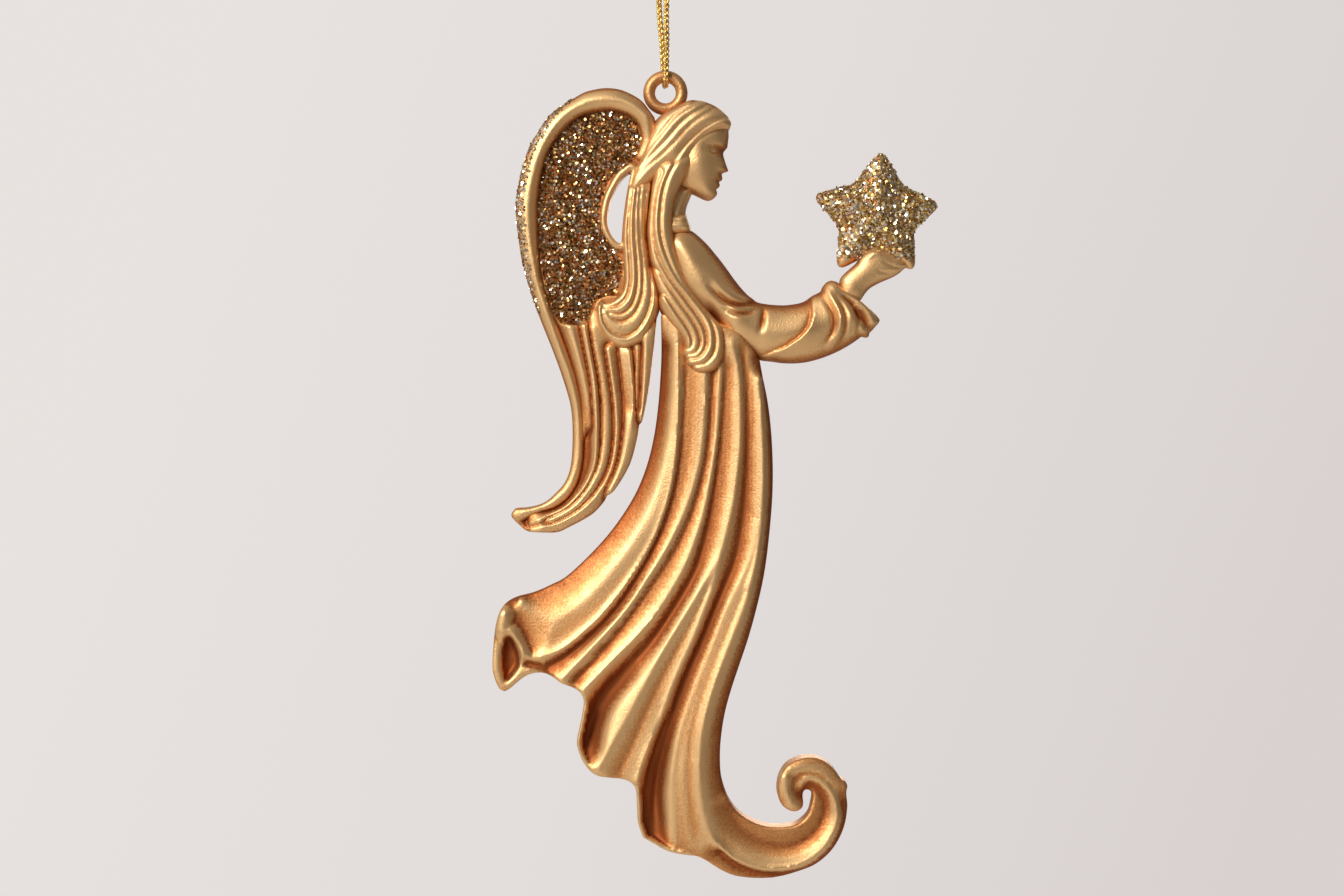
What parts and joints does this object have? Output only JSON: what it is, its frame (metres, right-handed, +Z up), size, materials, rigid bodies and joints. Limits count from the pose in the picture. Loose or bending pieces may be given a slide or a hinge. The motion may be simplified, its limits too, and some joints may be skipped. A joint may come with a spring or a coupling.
{
  "type": "hanging angel ornament",
  "caption": "Moulded relief ornament of a winged figure in a long gown holding up a glittered star, swinging on a knotted metallic cord loop.",
  "frame": {"origin": "the point inside the top of the cord loop where a hook bears", "axes": "+X the way the angel faces, +Z up along the hanging cord, Y through the relief from front (-Y) to back"},
  "size_m": [0.0776, 0.011, 0.1681],
  "materials": {
    "figure": "satin metallic gold paint over moulded plastic",
    "star_glitter": "coarse pale gold and silver glitter",
    "wing_glitter": "coarse mixed gold, silver and bronze glitter",
    "cord": "braided metallic gold thread"
  },
  "bodies": {
    "hanger": {"hanging_cord": "cord", "cord_knot": "cord"},
    "figurine": {"hair_crown": "figure", "hair_back_lock": "figure", "hair_front_lock": "figure", "head": "figure", "collar": "figure", "neck": "figure", "upper_sleeve": "figure", "forearm_sleeve": "figure", "sleeve_cuff": "figure", "hand": "figure", "star": "figure", "star_glitter_front": "star_glitter", "star_glitter_back": "star_glitter", "gown_skirt": "figure", "gown_train": "figure", "gown_scroll": "figure", "gown_hem_roll": "figure", "wing_rim": "figure", "wing_panel": "figure", "wing_feathers": "figure", "wing_glitter_front": "wing_glitter", "wing_glitter_back": "wing_glitter", "wing_edge_glitter": "wing_glitter", "hanging_eye": "figure"}
  },
  "joints": [
    {"name": "eyelet_swing", "type": "hinge", "parent": "hanger", "child": "figurine", "pos_m": [0, 0, -0.024], "axis": [0, 1, 0], "range_deg": [-90, 72]}
  ]
}
